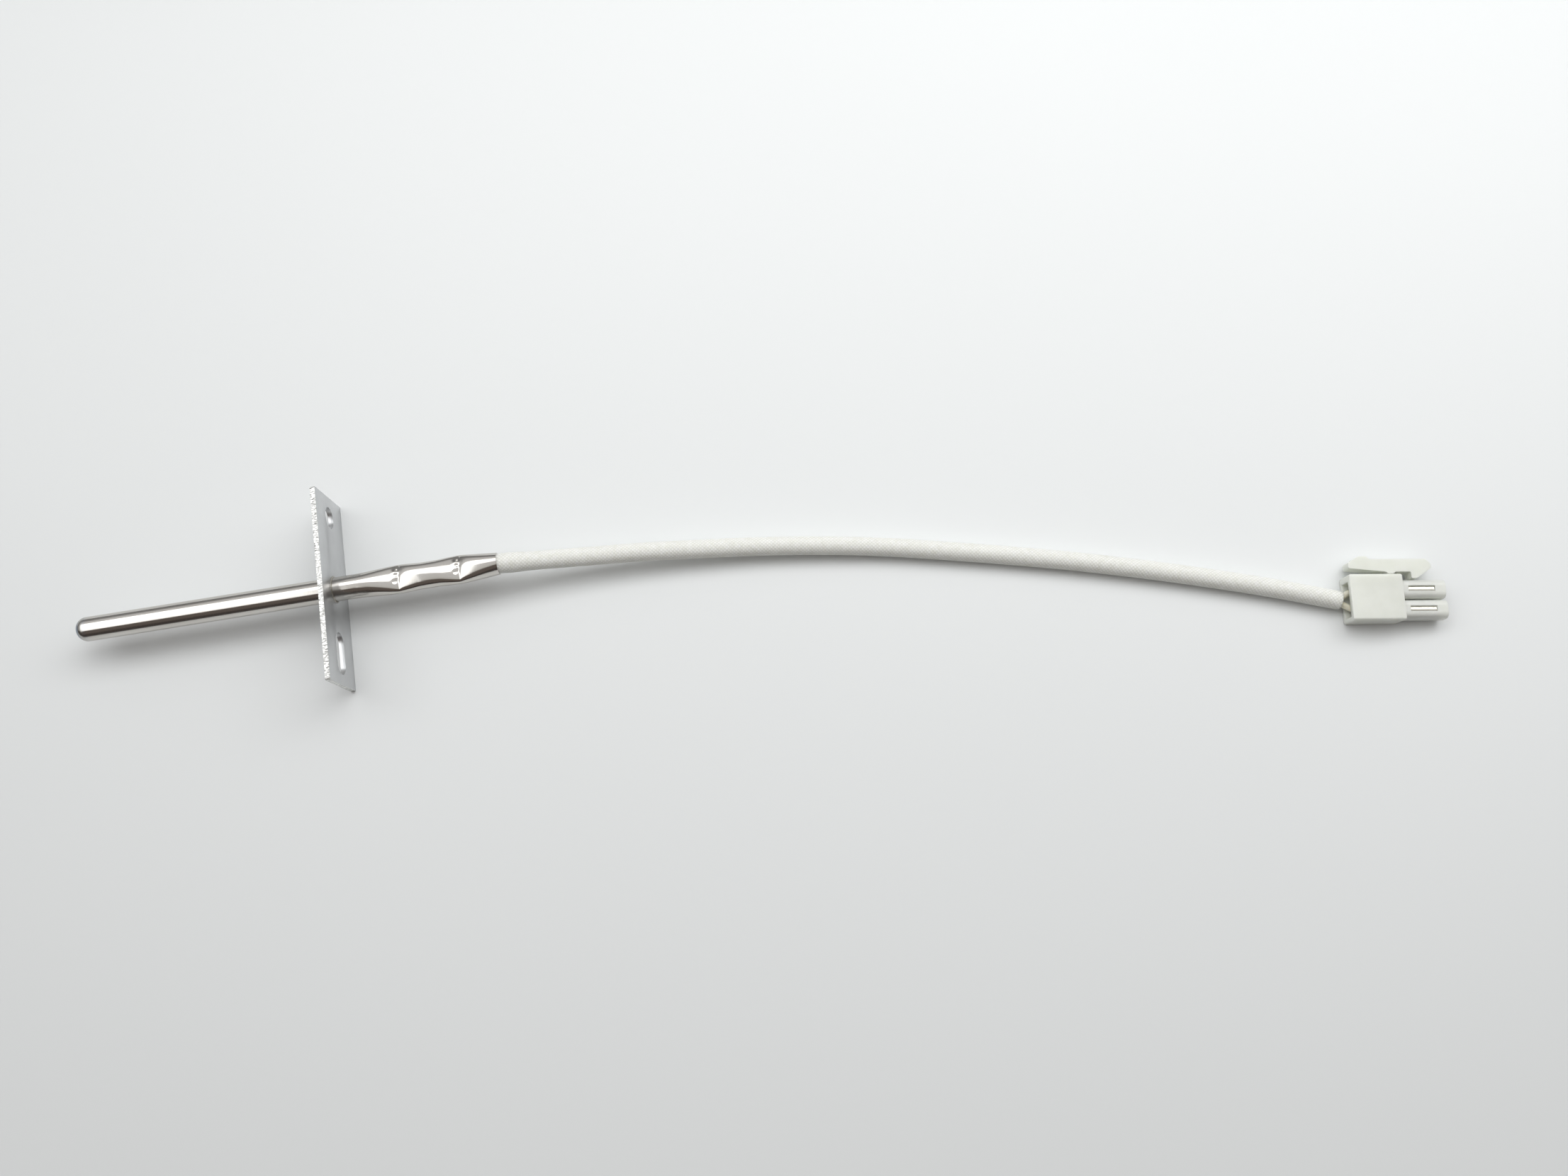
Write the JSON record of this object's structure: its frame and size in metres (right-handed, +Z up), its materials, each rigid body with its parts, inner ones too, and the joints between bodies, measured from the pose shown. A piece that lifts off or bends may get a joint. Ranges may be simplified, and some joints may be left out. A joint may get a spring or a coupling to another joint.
{
  "type": "thermocouple probe",
  "caption": "Bulkhead thermocouple: domed steel sheath welded through a slotted mounting plate, braided glass-fibre lead and a two-way latching connector.",
  "frame": {"origin": "on the surface the part lies on, under the middle of the probe (sheath and plate, without the lead and its connector)", "axes": "+X along the sheath from the hot tip towards the lead, +Y along the plate towards its round hole, +Z up"},
  "size_m": [0.2765, 0.0623, 0.015],
  "materials": {
    "sheath_steel": "bright drawn stainless steel",
    "plate_steel": "2B cold-rolled stainless steel, sheared edges",
    "weld_steel": "fused stainless steel",
    "alumina": "fired alumina ceramic",
    "magnesia": "packed magnesia powder",
    "thermo_alloy": "drawn nickel alloy wire",
    "nickel_plate": "nickel plate",
    "cement": "set ceramic cement",
    "wire_insulation": "translucent fluoropolymer",
    "glass_braid": "varnished glass-fibre braid",
    "nylon": "natural moulded nylon",
    "tin_plate": "tin-plated brass"
  },
  "bodies": {
    "probe": {"sheath_tube": "sheath_steel", "end_cap": "weld_steel", "mounting_plate": "plate_steel", "weld_ring": "weld_steel", "ceramic_insulator": "alumina", "magnesia_packing": "magnesia", "junction_bead": "thermo_alloy", "thermo_wire_positive": "thermo_alloy", "thermo_wire_negative": "thermo_alloy", "splice_barrel_positive": "nickel_plate", "splice_barrel_negative": "nickel_plate", "cement_seal": "cement", "lead_conductor_positive": "nickel_plate", "lead_conductor_negative": "nickel_plate", "lead_insulation_positive": "wire_insulation", "lead_insulation_negative": "wire_insulation", "braided_sleeve": "glass_braid", "connector_housing": "nylon", "terminal_positive": "tin_plate", "terminal_negative": "tin_plate"},
    "latch": {"latch_arm": "nylon"}
  },
  "joints": [
    {"name": "latch_press", "type": "hinge", "parent": "probe", "child": "latch", "pos_m": [0.22337, -0.03139, 0.0027], "axis": [0, 0, 1], "range_deg": [0, 8], "stiffness_Nm_per_rad": 0.4}
  ]
}
